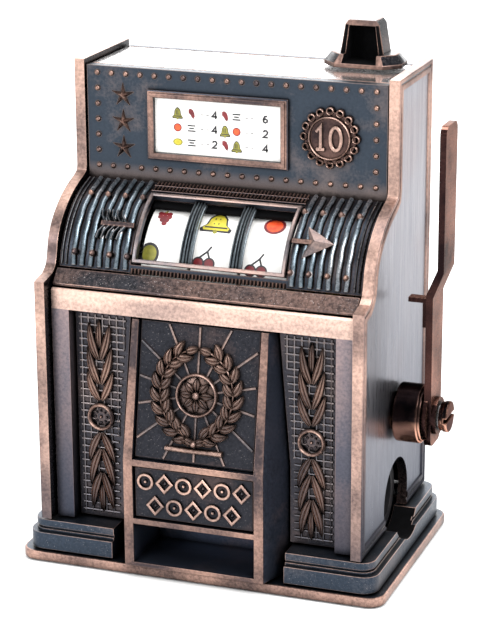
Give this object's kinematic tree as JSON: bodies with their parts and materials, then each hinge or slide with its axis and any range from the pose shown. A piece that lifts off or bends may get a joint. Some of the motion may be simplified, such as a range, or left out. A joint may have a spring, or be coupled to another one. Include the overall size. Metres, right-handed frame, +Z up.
{
  "type": "miniature slot machine pencil sharpener",
  "caption": "Miniature die-cast slot machine with a pull lever, turning reels behind a window and a pencil sharpener in its base.",
  "frame": {"origin": "middle of the base plate on its underside, where it stands", "axes": "+Z up, front faces -Y, +X is the lever side"},
  "size_m": [0.0649, 0.0391, 0.0839],
  "materials": {
    "gunmetal": "blackened antique copper plating on die-cast zinc, coarse casting grain",
    "rubbed_copper": "antique copper plating rubbed bright on the edges, over die-cast zinc",
    "brown_copper": "brown antique copper plating, half gloss",
    "brushed_side": "blue-grey brushed plating on die-cast zinc with copper rubbed borders",
    "polished_top": "polished plating",
    "steel": "bare steel",
    "brass": "bare brass",
    "white_card": "printed matt paper",
    "white_plastic": "moulded white plastic",
    "black_plastic": "moulded black plastic"
  },
  "bodies": {
    "cabinet": {"side_panel_left": "brushed_side", "side_panel_right": "brushed_side", "base_plate": "rubbed_copper", "base_moulding": "gunmetal", "base_screw_1": "steel", "base_screw_2": "steel", "base_screw_3": "steel", "base_screw_4": "steel", "front_frame": "rubbed_copper", "lattice_panel_right": "gunmetal", "lattice_panel_left": "gunmetal", "centre_section": "rubbed_copper", "emblem_plate": "gunmetal", "ornament_plate": "gunmetal", "deck_ledge": "gunmetal", "reel_hood": "gunmetal", "window_frame": "rubbed_copper", "award_panel": "gunmetal", "card_frame": "rubbed_copper", "award_card": "white_card", "medallion": "gunmetal", "top_panel": "polished_top", "back_cover": "gunmetal", "coin_head": "gunmetal", "bracket_right": "steel", "bracket_left": "steel", "lever_boss": "brown_copper", "return_spring": "steel", "sharpener_body": "black_plastic", "sharpener_blade": "steel", "blade_screw": "brass"},
    "lever": {"lever_arm": "brown_copper", "lever_axle": "steel", "axle_screw": "brown_copper", "drive_sector": "brass"},
    "reel_axle": {"reel_shaft": "steel", "pinion": "brass", "reel_spacer_left": "brass", "reel_spacer_right": "brass"},
    "reel_one": {"reel_1": "white_plastic", "reel_strip_1": "white_card"},
    "reel_two": {"reel_2": "white_plastic", "reel_strip_2": "white_card"},
    "reel_three": {"reel_3": "white_plastic", "reel_strip_3": "white_card"}
  },
  "joints": [
    {"name": "lever_pull", "type": "hinge", "parent": "cabinet", "child": "lever", "pos_m": [0.03145, 0.0005, 0.0249], "axis": [1, 0, 0], "range_deg": [0, 70], "stiffness_Nm_per_rad": 0.012, "springref_deg": -22.92},
    {"name": "reel_axle_turn", "type": "hinge", "parent": "cabinet", "child": "reel_axle", "pos_m": [0, 0.0005, 0.0449], "axis": [1, 0, 0], "range_deg": [-88, 2]},
    {"name": "reel_one_spin", "type": "hinge", "parent": "cabinet", "child": "reel_one", "pos_m": [-0.0081, 0.0005, 0.0449], "axis": [1, 0, 0], "continuous": true},
    {"name": "reel_two_spin", "type": "hinge", "parent": "cabinet", "child": "reel_two", "pos_m": [0, 0.0005, 0.0449], "axis": [1, 0, 0], "continuous": true},
    {"name": "reel_three_spin", "type": "hinge", "parent": "cabinet", "child": "reel_three", "pos_m": [0.0081, 0.0005, 0.0449], "axis": [1, 0, 0], "continuous": true}
  ],
  "couplings": [
    {"joint": "reel_axle_turn", "follows": "lever_pull", "ratio": -1.2222}
  ]
}
